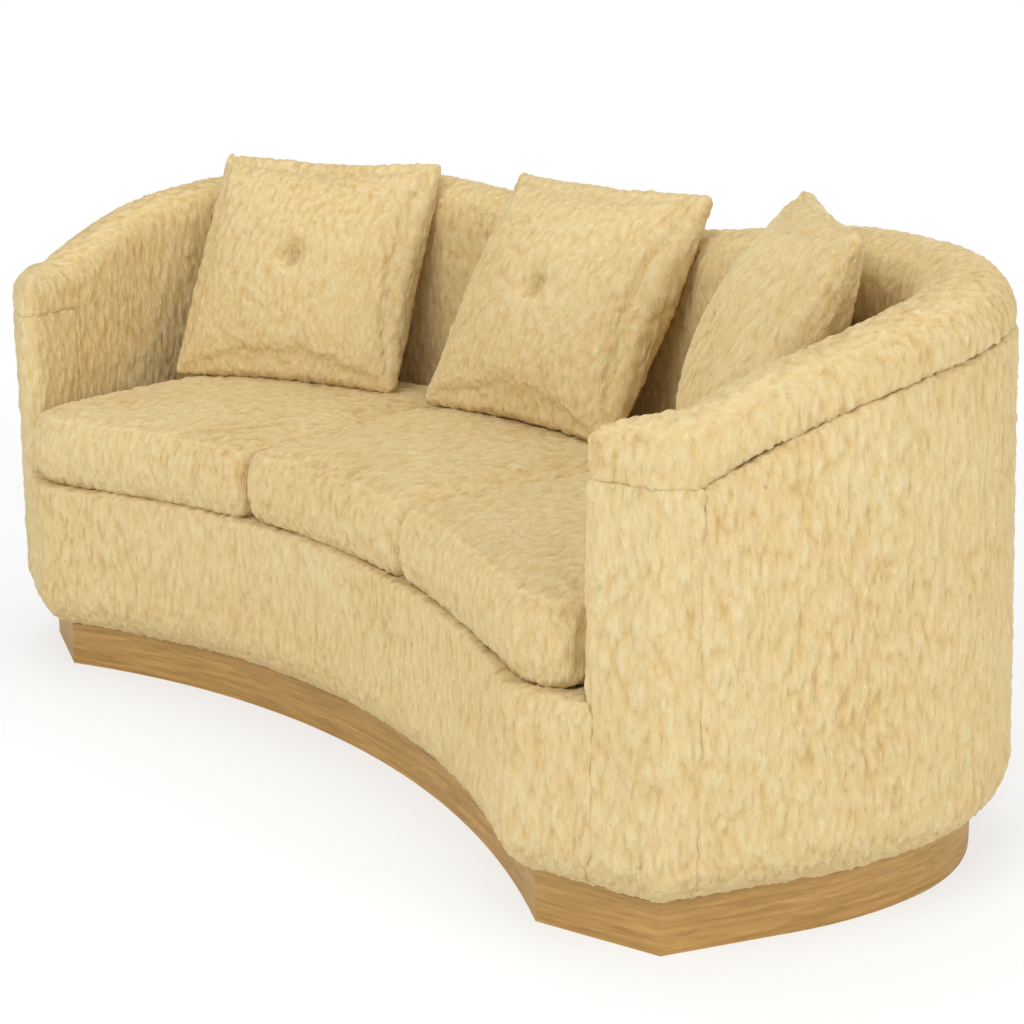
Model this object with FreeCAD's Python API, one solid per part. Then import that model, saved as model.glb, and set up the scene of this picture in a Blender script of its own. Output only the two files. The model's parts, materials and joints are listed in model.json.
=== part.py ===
import FreeCAD, Part
import math
import os

# Curved sofa with a concave front, a low wrap-around back, a recessed wood plinth,
# three loose seat cushions and three loose square pillows. Millimetres, +Z up.
# X runs along the sofa, the sitter faces -Y, and the origin is on the floor
# under the middle of the whole outline.

V = FreeCAD.Vector

# Plan of the plinth. Its front and back are arcs about one shared centre.
front_radius = 1285
back_radius = 1960
front_half_angle = 28.2
arm_front_length = 174
arm_front_angle = 19
side_lead_length = 178
side_lead_angle = 69
side_radius = 560

# Upright sizes
plinth_height = 73
hem_height = 82
deck_height = 322
arm_front_top = 668
shoulder_top = 802
middle_top = 746
shoulder_share = 0.12
roll_drop = 76
arm_nose_radius = 58

# Upholstery
overhang = 46
plush = 12
arm_thickness = 96
back_thickness = 146
arm_slant = 8
back_slant = 50
rear_rake = 26
seam_round = 9
hem_tuck = 2
facing_wrap = 26
foam_arm_pieces = 2
foam_back_pieces = 3
front_foam_pieces = 4
nose_corner_round = 24

# Plinth and frame timber
plinth_board = 18
board_lift = 2
base_rail_height = 60
base_rail_width = 40
base_rail_inset = 4
frame_reach = 20
frame_thickness = 30
seat_rail_height = 62
seat_rail_width = 30
top_rail_height = 58
top_rail_drop = 8
post_width = 42
block_side = 46
front_block_share = 0.6
back_block_share = 0.3
stretcher_width = 34
screw_radius = 2.5
screw_length = 70
screw_head_radius = 4.5
screw_head_height = 3
screw_low = 32
screw_inset = 17

# Springs, webbing and deck
spring_wire = 4
spring_swing = 26
spring_pitch = 24
spring_count = 12
spring_spread = 23.5
clip_length = 26
clip_width = 20
clip_height = 7
clip_setback = 1
web_thickness = 2
web_width = 50
web_gap = 62
burlap = 2
deck_foam_thickness = 17
deck_cloth = 2
dust_cloth = 1.5

# Seat cushions
cushion_height = 112
cushion_crown = 16
cushion_bulge = 16
cushion_proud = 3
corner_ease = 10
corner_ease_angle = 7
cushion_gap = 5
cushion_side_round = 22
seat_split_angle = 9.2

# Pillows
pillow_side = 432
pillow_thickness = 156
pillow_edge = 20
pillow_pull = 9
pillow_cloth = 8
tuft_depth = 34
tuft_radius = 70
button_radius = 12
button_height = 9
button_dome = 6
twine_radius = 1.5
pillow_start_share = 0.5
left_pillow_angle = -19
left_pillow_yaw = -30
left_pillow_tilt = 29
left_pillow_roll = 1
middle_pillow_angle = -0.3
middle_pillow_yaw = -4
middle_pillow_tilt = 31
middle_pillow_roll = 1
right_pillow_angle = 17
right_pillow_yaw = 40
right_pillow_tilt = 25
right_pillow_roll = 1

# Clearances
touch = 0.3
layer_gap = 0.6
slip = 0.9
deck_gap = 3
pillow_wall_gap = 2
station_step = 40
corner_step = 24


# Plan geometry

def heading(angle):
    turn = math.radians(angle)
    return math.cos(turn), math.sin(turn)


def smooth(share):
    share = min(1.0, max(0.0, share))
    return share * share * (3 - 2 * share)


def lean(start, end, share):
    return start + (end - start) * share


body_reach = overhang
corner_x = front_radius * math.sin(math.radians(front_half_angle))
corner_y = front_radius * math.cos(math.radians(front_half_angle))
arm_dx, arm_dy = heading(arm_front_angle)
side_dx, side_dy = heading(side_lead_angle)
outer_x = corner_x + arm_front_length * arm_dx
outer_y = corner_y + arm_front_length * arm_dy
lead_end_x = outer_x + side_lead_length * side_dx
lead_end_y = outer_y + side_lead_length * side_dy
side_centre_x = lead_end_x - side_radius * side_dy
side_centre_y = lead_end_y + side_radius * side_dx
wide_x = side_centre_x + side_radius
wide_y = side_centre_y
rear_radius = (back_radius ** 2 - wide_x ** 2 - wide_y ** 2) / (2 * (back_radius - wide_x))
rear_centre_x = wide_x - rear_radius
rear_centre_y = wide_y
rear_turn = math.degrees(math.atan2(rear_centre_y, rear_centre_x))
side_turn = 90 - side_lead_angle
lead_run = side_lead_length
side_run = lead_run + side_radius * math.radians(side_turn)
rear_run = side_run + rear_radius * math.radians(rear_turn)
half_run = rear_run + back_radius * math.radians(90 - rear_turn)
whole_run = 2 * half_run


def right_station(run):
    """Point of the plinth outline and its outward normal, from the arm corner to the middle."""
    if run <= lead_run:
        x = outer_x + run * side_dx
        y = outer_y + run * side_dy
        return x, y, side_dy, -side_dx
    if run <= side_run:
        angle = math.radians(side_lead_angle - 90) + (run - lead_run) / side_radius
        centre_x, centre_y, radius = side_centre_x, side_centre_y, side_radius
    elif run <= rear_run:
        angle = (run - side_run) / rear_radius
        centre_x, centre_y, radius = rear_centre_x, rear_centre_y, rear_radius
    else:
        angle = math.radians(rear_turn) + (run - rear_run) / back_radius
        centre_x, centre_y, radius = 0, 0, back_radius
    nx = math.cos(angle)
    ny = math.sin(angle)
    return centre_x + radius * nx, centre_y + radius * ny, nx, ny


def station(run):
    if run <= half_run:
        return right_station(run)
    x, y, nx, ny = right_station(whole_run - run)
    return -x, y, -nx, ny


def front_most():
    """Lowest y of the upholstered outline: the round of its front corner."""
    return corner_y - body_reach


shift_y = -(back_radius + body_reach + front_most()) / 2
rake_low = plinth_height + touch + base_rail_height


def near_run(run):
    return run if run <= half_run else whole_run - run


def top_at(run):
    """Height of the rolled top along the arm, the rear corner and the back."""
    run = near_run(run)
    shoulder_run = lean(rear_run, half_run, shoulder_share)
    if run <= shoulder_run:
        left = (shoulder_run - run) / (shoulder_run - facing_wrap)
        return lean(shoulder_top, arm_front_top, left ** 3)
    return lean(shoulder_top, middle_top, smooth((run - shoulder_run) / (half_run - shoulder_run)))


def back_share(run):
    return smooth((near_run(run) - lead_run) / (rear_run - lead_run))


def thickness_at(run):
    return lean(arm_thickness, back_thickness, back_share(run))


def slant_at(run):
    return lean(arm_slant, back_slant, back_share(run))


def crease_at(run):
    return top_at(run) - roll_drop


# Solids from sections

def ring(place, *strokes):
    """Closed wire from strokes of two points, a line, or three points, an arc."""
    edges = []
    for stroke in strokes:
        points = [place(*pair) for pair in stroke]
        if len(points) == 3:
            edges.append(Part.Arc(*points).toShape())
        elif points[0] != points[1]:
            edges.append(Part.makeLine(*points))
    return Part.Wire(edges)


def outline(place, *corners):
    """Closed wire of straight lines through its corners."""
    last = len(corners)
    return ring(place, *[(corners[i], corners[(i + 1) % last]) for i in range(last)])


def wall_place(run):
    """Places a section across the wall; behind the arms the wall leans in towards its top."""
    x, y, nx, ny = station(run)
    rake = rear_rake * smooth((near_run(run) - facing_wrap) / (rear_run - facing_wrap))

    def place(reach, z):
        reach -= rake * max(0, z - rake_low) / (shoulder_top - rake_low)
        return V(x + nx * reach, y + ny * reach, z)

    return place


corner_split = (side_run + rear_run) / 2


def wall_stations():
    """Runs shared by every layer of the wall, so that the layers follow each other."""
    eased = rear_run + 4 * corner_step
    marks = (0, facing_wrap, lead_run, side_run, corner_split, rear_run, eased, half_run)
    runs = []
    for start, end in zip(marks, marks[1:]):
        spacing = corner_step if lead_run <= start < eased else station_step
        steps = math.ceil((end - start) / spacing)
        runs.extend(lean(start, end, i / steps) for i in range(steps))
    return runs + [half_run] + [whole_run - run for run in reversed(runs)]


def runs_between(start, end):
    margin = corner_step / 3
    inside = [run for run in wall_stations() if start + margin < run < end - margin]
    return [start] + (inside or [(start + end) / 2]) + [end]


def nearest_station(run):
    return min(wall_stations(), key=lambda station_run: abs(station_run - run))


def wall_loft(start, end, section):
    wires = [section(run, wall_place(run)) for run in runs_between(start, end)]
    return Part.makeLoft(wires, True, True)


def radius_at(angle, reach, z):
    """Distance from the shared centre to the wall line, at an angle from the middle."""
    low, high = side_run, half_run
    for step in range(40):
        run = (low + high) / 2
        point = wall_place(run)(reach, z)
        if math.degrees(math.atan2(point.x, point.y)) > abs(angle):
            low = run
        else:
            high = run
    return math.hypot(point.x, point.y)


def save(name, *solids):
    shape = solids[0] if len(solids) == 1 else Part.makeCompound(list(solids))
    shape = shape.copy()
    shape.translate(V(0, shift_y, 0))
    shape.exportStep("parts/" + name + ".step")


def mirrored(shape):
    return shape.mirror(V(0, 0, 0), V(1, 0, 0))


def save_pair(name, shape):
    """The right piece, at +X, and its mirror image on the left."""
    save(name + "_right", shape)
    save(name + "_left", mirrored(shape))


def save_both(name, *shapes):
    """Right pieces and their mirror images as one group of separate solids."""
    save(name, *shapes, *[mirrored(shape) for shape in shapes])


def turned(face, x, y, angle):
    return face.revolve(V(x, y, 0), V(0, 0, 1), angle)


def joined(first, *others):
    solid = first.fuse(list(others)).removeSplitter()
    return solid.Solids[0] if len(solid.Solids) == 1 else solid


def bar(x, y, angle, length, width, bottom, height):
    """Box whose long side starts at x, y and runs along angle."""
    box = Part.makeBox(length, width, height, V(0, -width / 2, bottom))
    box.rotate(V(0, 0, 0), V(0, 0, 1), angle)
    box.translate(V(x, y, 0))
    return box


def polar(radius, angle):
    """Point at an angle from the middle of the sofa, positive towards +X."""
    turn = math.radians(angle)
    return radius * math.sin(turn), radius * math.cos(turn)


# Plinth

dust_low = plinth_height - dust_cloth
board_top = dust_low - touch
base_bottom = plinth_height + touch


def front_corner(reach):
    """Where the front arc and the arm-front face meet, both moved outward by reach."""
    x = corner_x + reach * arm_dy
    y = corner_y - reach * arm_dx
    radius = front_radius - reach
    along = x * arm_dx + y * arm_dy
    root = math.sqrt(along ** 2 - x ** 2 - y ** 2 + radius ** 2)
    step = min(-along - root, -along + root, key=abs)
    return x + step * arm_dx, y + step * arm_dy


def outer_corner(reach):
    """Where the arm-front face meets the side, both moved outward by reach."""
    half_turn = math.radians(side_lead_angle - arm_front_angle) / 2
    middle = math.radians((side_lead_angle + arm_front_angle) / 2 - 90)
    distance = reach / math.cos(half_turn)
    return outer_x + distance * math.cos(middle), outer_y + distance * math.sin(middle)


def plan_outline(reach, z=0):
    """Outline of the sofa seen from above, outside the plinth's face by reach."""
    x, y = front_corner(reach)
    edges = [Part.Arc(V(-x, y, z), V(0, front_radius - reach, z), V(x, y, z)).toShape()]
    for side in (1, -1):
        def at(run):
            px, py, nx, ny = right_station(run)
            return V(side * (px + nx * reach), py + ny * reach, z)
        corner = V(side * outer_corner(reach)[0], outer_corner(reach)[1], z)
        edges.extend([
            Part.makeLine(V(side * x, y, z), corner),
            Part.makeLine(corner, at(lead_run)),
            Part.Arc(at(lead_run), at((lead_run + side_run) / 2), at(side_run)).toShape(),
            Part.Arc(at(side_run), at(corner_split), at(rear_run)).toShape(),
        ])
    rear_x, rear_y, nx, ny = right_station(rear_run)
    right = V(rear_x + nx * reach, rear_y + ny * reach, z)
    left = V(-right.x, right.y, z)
    edges.append(Part.Arc(right, V(0, back_radius + reach, z), left).toShape())
    return Part.Wire(Part.__sortEdges__(edges))


def wedge(start, end):
    """Tall prism between two directions from the hub of the plan."""
    reach = 3 * back_radius
    steps = 4
    corners = [V(0, hub_y, -1)]
    for i in range(steps + 1):
        dx, dy = heading(lean(start, end, i / steps))
        corners.append(V(reach * dx, hub_y + reach * dy, -1))
    corners.append(corners[0])
    return Part.Face(Part.makePolygon(corners)).extrude(V(0, 0, plinth_height + 2))


hub_y = (front_radius + back_radius) / 2 - 100


def hub_angle(x, y):
    return math.degrees(math.atan2(y - hub_y, x))


def make_plinth():
    band = Part.Face(plan_outline(0)).cut(Part.Face(plan_outline(-plinth_board)))
    wall = band.extrude(V(0, 0, plinth_height))
    front_turn = hub_angle(corner_x, corner_y)
    arm_turn = hub_angle(outer_x, outer_y)
    rear_x, rear_y, nx, ny = right_station(corner_split)
    rear_corner = hub_angle(rear_x, rear_y)
    save("plinth_front", wall.common(wedge(-180 - front_turn, front_turn)).Solids[0])
    save_both("plinth_arm_fronts", wall.common(wedge(front_turn, arm_turn)).Solids[0])
    save_both("plinth_sides", wall.common(wedge(arm_turn, rear_corner)).Solids[0])
    save("plinth_back", wall.common(wedge(rear_corner, 180 - rear_corner)).Solids[0])


def block_spots():
    """Middle of each glue block and its screw: x, y, heading, on the right half."""
    inset = plinth_board + touch
    reach = inset + block_side / 2
    x, y = polar(front_radius + reach, front_block_share * front_half_angle)
    spots = [(x, y, 90 - front_block_share * front_half_angle)]
    back_run = lean(rear_run, half_run, back_block_share)
    for run in (lead_run, lean(side_run, rear_run, back_block_share), back_run):
        x, y, nx, ny = station(run)
        sag = block_side ** 2 / (8 * (side_radius - inset)) + touch
        spots.append((x - nx * (reach + sag), y - ny * (reach + sag), math.degrees(math.atan2(ny, nx))))
    return spots


def upright_hole(x, y, radius, low, high):
    """A round bar from one height to another, and its mirror image on the left."""
    rod = Part.makeCylinder(radius, high - low, V(x, y, low))
    return [rod, mirrored(rod)]


def screw_spots():
    """Each screw stands near the outer side of its block, under the base rail."""
    shift = block_side / 2 - screw_inset
    points = []
    for index, (x, y, angle) in enumerate(block_spots()):
        dx, dy = heading(angle)
        outward = -shift if index == 0 else shift
        points.append((x + outward * dx, y + outward * dy))
    return points


def screw_holes(radius, low, high):
    rods = []
    for x, y in screw_spots():
        rods.extend(upright_hole(x, y, radius, low, high))
    return rods


def make_plinth_screws():
    screws = []
    shank_low = screw_low + screw_head_height
    for x, y in screw_spots():
        head = Part.makeCylinder(screw_head_radius, screw_head_height, V(x, y, screw_low))
        shank = Part.makeCylinder(screw_radius, screw_length, V(x, y, shank_low))
        screws.append(joined(head, shank))
    save_both("plinth_screws", *screws)


def make_plinth_blocks():
    """Glue blocks inside the plinth, and cross boards from front to back."""
    height = board_top - board_lift
    seat = screw_low + screw_head_height + touch
    bores = screw_holes(screw_head_radius + slip, 0, seat) + screw_holes(screw_radius + slip, 0, plinth_height)
    blocks = []
    for x, y, angle in block_spots():
        block = Part.makeBox(block_side, block_side, height, V(-block_side / 2, -block_side / 2, board_lift))
        block.rotate(V(0, 0, 0), V(0, 0, 1), angle)
        block.translate(V(x, y, 0))
        blocks.append(block.cut(bores).Solids[0])
    save_both("plinth_blocks", *blocks)
    boards = []
    for angle in (-seat_split_angle, seat_split_angle):
        start = front_radius + plinth_board + slip
        end = back_radius - plinth_board - slip
        x, y = polar(start, angle)
        boards.append(bar(x, y, 90 - angle, end - start, plinth_board, board_lift, board_top - board_lift))
    save("plinth_cross_boards", *boards)


# Timber frame

base_top = base_bottom + base_rail_height
post_bottom = base_top + touch
seat_rail_top = deck_height - deck_cloth - deck_foam_thickness - burlap - clip_height - 4 * touch
suspension_top = seat_rail_top + clip_height + 2 * touch
seat_rail_bottom = seat_rail_top - seat_rail_height
frame_inner = frame_reach - frame_thickness
front_rail_angle = front_half_angle - 1.2


def box_section(outer, inner, low, high):
    def section(run, place):
        bottom = low(run) if callable(low) else low
        top = high(run) if callable(high) else high
        return outline(place, (outer, bottom), (outer, top), (inner, top), (inner, bottom))
    return section


def front_arc(inner, outer, angle, low, high):
    """Curved board about the shared centre, angle to each side of the middle."""
    start_x, start_y = heading(90 - angle)
    face = Part.Face(outline(
        lambda radius, z: V(start_x * radius, start_y * radius, z),
        (inner, low), (inner, high), (outer, high), (outer, low),
    ))
    return turned(face, 0, 0, 2 * angle)


def top_rail_high(run):
    return top_at(run) - thickness_at(run) / 2 - top_rail_drop


def top_rail_low(run):
    return top_rail_high(run) - top_rail_height


def make_base_frame():
    start = front_radius + base_rail_inset
    pilots = screw_holes(screw_radius + touch, 0, screw_low + screw_head_height + screw_length + slip)
    front = front_arc(start, start + base_rail_width, front_rail_angle, base_bottom, base_top)
    save("base_front_rail", front.cut(pilots).Solids[0])
    outer = -base_rail_inset
    section = box_section(outer, outer - base_rail_width, base_bottom, base_top)
    split = corner_split
    save_both("base_side_rails", wall_loft(post_width, split, section).cut(pilots).Solids[0])
    save("base_back_rail", wall_loft(split, whole_run - split, section).cut(pilots).Solids[0])
    boards = []
    for angle in (-seat_split_angle, seat_split_angle):
        first = start + base_rail_width + slip
        last = back_radius - base_rail_inset - base_rail_width - slip
        x, y = polar(first, angle)
        boards.append(bar(x, y, 90 - angle, last - first, stretcher_width, base_bottom, base_rail_height))
    save("base_stretchers", *boards)


def make_seat_rails():
    start = front_radius - frame_reach
    end = start + frame_thickness
    save("seat_front_rail", front_arc(start, end, front_rail_angle, post_bottom, seat_rail_top))
    outer = frame_inner - layer_gap
    section = box_section(outer, outer - seat_rail_width, seat_rail_bottom, seat_rail_top)
    split = corner_split
    save_both("seat_side_rails", wall_loft(post_width, split, section))
    save("seat_back_rail", wall_loft(split, whole_run - split, section))
    boards = []
    for angle in (-seat_split_angle, seat_split_angle):
        first = end + slip
        last = radius_at(angle, outer - seat_rail_width - slip, seat_rail_top)
        x, y = polar(first, angle)
        boards.append(bar(
            x, y, 90 - angle, last - first, stretcher_width / 2,
            seat_rail_bottom - spring_wire, seat_rail_height - 3 * spring_wire,
        ))
    save("seat_stretchers", *boards)


def post_runs():
    """Start of each upright on the right half, the arm front post first."""
    back_step = (half_run - rear_run) / 3
    return [side_run * 0.62, corner_split, rear_run + back_step * 0.3, rear_run + back_step * 1.75]


def make_uprights():
    def section(run, place):
        low = post_bottom
        high = top_rail_low(run) - layer_gap
        return outline(
            place, (frame_reach, low), (frame_reach, high), (frame_inner, high), (frame_inner, low),
        )
    front_post = wall_loft(0, post_width - touch, section)
    save_both("arm_front_posts", front_post)
    starts = post_runs()
    arm_posts = [wall_loft(run, run + post_width, section) for run in starts[:2]]
    save_both("arm_posts", *arm_posts)
    back_posts = [wall_loft(run, run + post_width, section) for run in starts[2:]]
    save_both("back_posts", *back_posts)


def make_top_rails():
    section = box_section(frame_reach, frame_inner, top_rail_low, top_rail_high)
    split = corner_split
    save_both("arm_top_rails", wall_loft(0, split, section))
    save("back_top_rail", wall_loft(split, whole_run - split, section))


def arm_front_bar(reach, depth, start, end, low, high):
    """Straight board behind the arm-front face, from start to end along it."""
    x = corner_x + reach * arm_dy + start * arm_dx
    y = corner_y - reach * arm_dx + start * arm_dy
    board = Part.makeBox(end - start, depth, high - low, V(0, 0, low))
    board.rotate(V(0, 0, 0), V(0, 0, 1), arm_front_angle)
    board.translate(V(x, y, 0))
    return board


def make_arm_front_rails():
    start = base_rail_width
    end = arm_front_length - base_rail_width / 2
    base = arm_front_bar(-base_rail_inset, base_rail_width, start, end, base_bottom, base_top)
    save_both("base_arm_rails", base)
    save_both("arm_front_blocks", front_block(0))


def front_block(clear):
    """Upright block over the arm's base rail, grown all round by clear."""
    start = base_rail_width + slip - clear
    end = arm_front_length - base_rail_width / 2 - slip + clear
    low = post_bottom - clear
    return arm_front_bar(clear, frame_thickness + 2 * clear, start, end, low, seat_rail_top + clear)


def make_dust_cloth():
    """Cloth under the base frame, inside the plinth, with holes for the plinth screws."""
    reach = -plinth_board - slip
    cloth = Part.Face(plan_outline(reach, dust_low)).extrude(V(0, 0, dust_cloth))
    save("dust_cloth", cloth.cut(screw_holes(screw_radius + slip, 0, base_bottom)).Solids[0])


# Springs and webbing

def make_springs():
    """Flat zigzag springs from the front seat rail to the back one, with a clip at each end."""
    springs = []
    clips = []
    first = front_radius + clip_setback + clip_length
    rail_reach = frame_inner - layer_gap - clip_setback - clip_length - clip_width / 2
    height = seat_rail_top + touch
    for index in range(spring_count):
        angle = lean(-spring_spread, spring_spread, index / (spring_count - 1))
        last = radius_at(angle, rail_reach, seat_rail_top)
        turns = max(4, int((last - first) / spring_pitch))
        pitch = (last - first) / turns
        half_wire = spring_wire / 2
        near = []
        far = []
        for turn in range(turns + 1):
            along = first + turn * pitch
            across = 0 if turn in (0, turns) else spring_swing * (1 if turn % 2 else -1)
            near.append(V(across - half_wire, along, height))
            far.append(V(across + half_wire, along, height))
        path = near + far[::-1] + near[:1]
        strip = Part.Face(Part.makePolygon(path)).extrude(V(0, 0, spring_wire))
        strip.rotate(V(0, 0, 0), V(0, 0, 1), -angle)
        springs.append(strip)
        for along in (first - clip_length - touch, last + touch):
            clip = Part.makeBox(clip_width, clip_length, clip_height, V(-clip_width / 2, along, height))
            clip.rotate(V(0, 0, 0), V(0, 0, 1), -angle)
            clips.append(clip)
    save("seat_springs", *springs)
    save("spring_clips", *clips)


def strap(start, end, low, high):
    outer = frame_inner - layer_gap
    section = box_section(outer, outer - web_thickness, low, high)
    return wall_loft(start, end, section)


def make_webbing():
    """Bands stretched flat across the inside of the uprights, one above the other."""
    straps = []
    low = seat_rail_top + web_gap * 0.3
    start, end = rear_run, whole_run - rear_run
    while low + web_width < top_rail_low(half_run) + 10:
        straps.append(strap(start, end, low, low + web_width))
        low += web_width + web_gap
    save("back_webbing", *straps)
    arm_strap = strap(4, side_run, seat_rail_top + web_gap * 0.3, seat_rail_top + web_gap * 0.3 + web_width)
    save_both("arm_webbing", arm_strap)


# Deck

def well_face(front, clear, z):
    """Flat area of the seat well: front arc radius, and distance kept from the inside cover."""
    points = []
    for run in runs_between(0, whole_run):
        reach = body_reach - thickness_at(run) - slant_at(run) - clear
        points.append(wall_place(run)(reach, z))
    curve = Part.BSplineCurve()
    curve.interpolate(points)
    side = curve.toShape()
    last, first = points[-1], points[0]
    right = V(corner_x, corner_y - front_radius + front, z)
    left = V(-corner_x, corner_y - front_radius + front, z)
    return Part.Face(Part.Wire([
        side,
        Part.makeLine(last, left),
        Part.Arc(left, V(0, front, z), right).toShape(),
        Part.makeLine(right, first),
    ]))


def make_deck():
    front = front_radius - hem_tuck + slip
    low = suspension_top
    save("deck_burlap", well_face(front, deck_gap, low).extrude(V(0, 0, burlap)))
    foam_low = low + burlap + touch
    cloth_low = deck_height - deck_cloth
    foam = well_face(front, deck_gap, foam_low).extrude(V(0, 0, cloth_low - touch - foam_low))
    save("deck_foam", foam)
    save("deck_cloth", well_face(front, deck_gap, cloth_low).extrude(V(0, 0, deck_cloth)))


# Upholstered walls

def hem_bend(reach, low, high, share=0.5):
    """Point of the elliptical lower edge, at a share of its quarter turn."""
    turn = share * math.pi / 2
    return hem_tuck + reach * math.sin(turn), high - (high - low) * math.cos(turn)


hem_low = plinth_height + touch
hem_high = hem_low + hem_height


def hem_strokes(reach, low):
    """Elliptical lower edge of a layer, from the tuck under the sofa out to reach."""
    bend = hem_bend(reach - hem_tuck, low, hem_high)
    return (hem_tuck, low), bend, (reach, hem_high)


def outside_section(run, place):
    """Outside plush from the tucked hem up to the crease."""
    outer = body_reach
    inner = outer - plush
    top = crease_at(run) - layer_gap
    half_round = seam_round * (1 - math.sqrt(0.5))
    return ring(
        place,
        hem_strokes(outer, hem_low),
        ((outer, hem_high), (outer, top - seam_round)),
        ((outer, top - seam_round), (outer - half_round, top - half_round), (outer - seam_round, top)),
        ((outer - seam_round, top), (inner, top)),
        ((inner, top), (inner, hem_high)),
        hem_strokes(inner, hem_low + plush)[::-1],
        ((hem_tuck, hem_low + plush), (hem_tuck, hem_low)),
    )


def roll_strokes(run, inset):
    """Rolled top drawn in by inset: outer side, middle, radius, 45 degree bend, spring line, toe."""
    outer = body_reach - inset
    radius = thickness_at(run) / 2 - inset
    centre = outer - radius
    line = top_at(run) - thickness_at(run) / 2
    return outer, centre, radius, radius * math.sqrt(0.5), line, centre - radius - slant_at(run)


def roll_section(run, place):
    """Plush over the roll and down the inside to the suspension."""
    foot = suspension_top
    low = crease_at(run)
    outer, centre, radius, bend, line, toe = roll_strokes(run, 0)
    inner, in_centre, in_radius, in_bend, in_line, in_toe = roll_strokes(run, plush)
    half_round = seam_round * (1 - math.sqrt(0.5))
    return ring(
        place,
        ((inner, low), (outer - seam_round, low)),
        ((outer - seam_round, low), (outer - half_round, low + half_round), (outer, low + seam_round)),
        ((outer, low + seam_round), (outer, line)),
        ((outer, line), (centre + bend, line + bend), (centre, line + radius)),
        ((centre, line + radius), (centre - bend, line + bend), (centre - radius, line)),
        ((centre - radius, line), (toe, foot)),
        ((toe, foot), (in_toe, foot)),
        ((in_toe, foot), (in_centre - in_radius, line)),
        ((in_centre - in_radius, line), (in_centre - in_bend, line + in_bend), (in_centre, line + in_radius)),
        ((in_centre, line + in_radius), (in_centre + in_bend, line + in_bend), (inner, line)),
        ((inner, line), (inner, low)),
    )


def padding_section(run, place):
    """Thin padding between the uprights and the outside plush."""
    return outline(place, *padding_corners(top_rail_high(run)))


def padding_corners(high):
    """Section of the padding, stepped over the base rail, up to a given height."""
    back = frame_reach + layer_gap
    face = body_reach - plush - layer_gap
    lip = hem_tuck + touch
    low = hem_low + plush + layer_gap
    step = base_top - touch
    bend = hem_bend(face - lip, low, hem_high)
    return (lip, low), bend, (face, hem_high), (face, high), (back, high), (back, step), (lip, step)


def roll_foam_section(run, place):
    """Half-round foam that caps the top rail."""
    outer, centre, radius, bend, line, toe = roll_strokes(run, plush + layer_gap)
    low = top_rail_high(run) + layer_gap
    return ring(
        place,
        ((centre - radius, low), (outer, low)),
        ((outer, low), (outer, line)),
        ((outer, line), (centre + bend, line + bend), (centre, line + radius)),
        ((centre, line + radius), (centre - bend, line + bend), (centre - radius, line)),
        ((centre - radius, line), (centre - radius, low)),
    )


def inner_foam_section(run, place):
    """Foam slab between the webbing and the inside plush."""
    outer, centre, radius, bend, line, toe = roll_strokes(run, plush + layer_gap)
    back = frame_inner - web_thickness - 2 * layer_gap
    foot = suspension_top
    high = top_rail_high(run)
    face = lean(centre - radius, toe, (line - high) / (line - foot))
    return outline(place, (back, foot), (back, high), (face, high), (toe, foot))


# Arm fronts

def face_meets_side(face_reach, side_reach):
    """Where a line in front of the arm-front face meets a line along the arm's side."""
    face_x = corner_x + face_reach * arm_dy
    face_y = corner_y - face_reach * arm_dx
    side_x = outer_x + side_dy * side_reach
    side_y = outer_y - side_dx * side_reach
    cross = arm_dx * side_dy - arm_dy * side_dx
    step = ((side_x - face_x) * side_dy - (side_y - face_y) * side_dx) / cross
    return face_x + step * arm_dx, face_y + step * arm_dy


def nose_plan(inset, end_run):
    """Plan of the arm's front end: oblique front face, round outer corner, round inner corner."""
    reach = body_reach - inset
    toe = roll_strokes(0, inset)[5]
    round_radius = nose_corner_round - inset
    side_x = outer_x + side_dy * toe
    side_y = outer_y - side_dx * toe
    tip_x, tip_y = face_meets_side(reach, toe)
    half_angle = math.radians(side_lead_angle - arm_front_angle) / 2
    tangent = round_radius / math.tan(half_angle)
    bend_x, bend_y = heading((side_lead_angle + arm_front_angle) / 2)
    short = round_radius / math.sin(half_angle) - round_radius
    out_x, out_y = heading((side_lead_angle + arm_front_angle) / 2 - 90)
    first = V(tip_x + tangent * arm_dx, tip_y + tangent * arm_dy, 0)
    middle = V(tip_x + short * bend_x, tip_y + short * bend_y, 0)
    last = V(tip_x + tangent * side_dx, tip_y + tangent * side_dy, 0)
    front = V(outer_x + reach * arm_dy, outer_y - reach * arm_dx, 0)
    corner = V(outer_x + reach * out_x, outer_y + reach * out_y, 0)
    side = V(outer_x + reach * side_dy, outer_y - reach * side_dx, 0)
    shift = V(end_run * side_dx, end_run * side_dy, 0)
    end_outer = side + shift
    end_inner = V(side_x, side_y, 0) + shift
    return Part.Wire([
        Part.makeLine(first, front),
        Part.Arc(front, corner, side).toShape(),
        Part.makeLine(side, end_outer),
        Part.makeLine(end_outer, end_inner),
        Part.makeLine(end_inner, last),
        Part.Arc(last, middle, first).toShape(),
    ])


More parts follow.
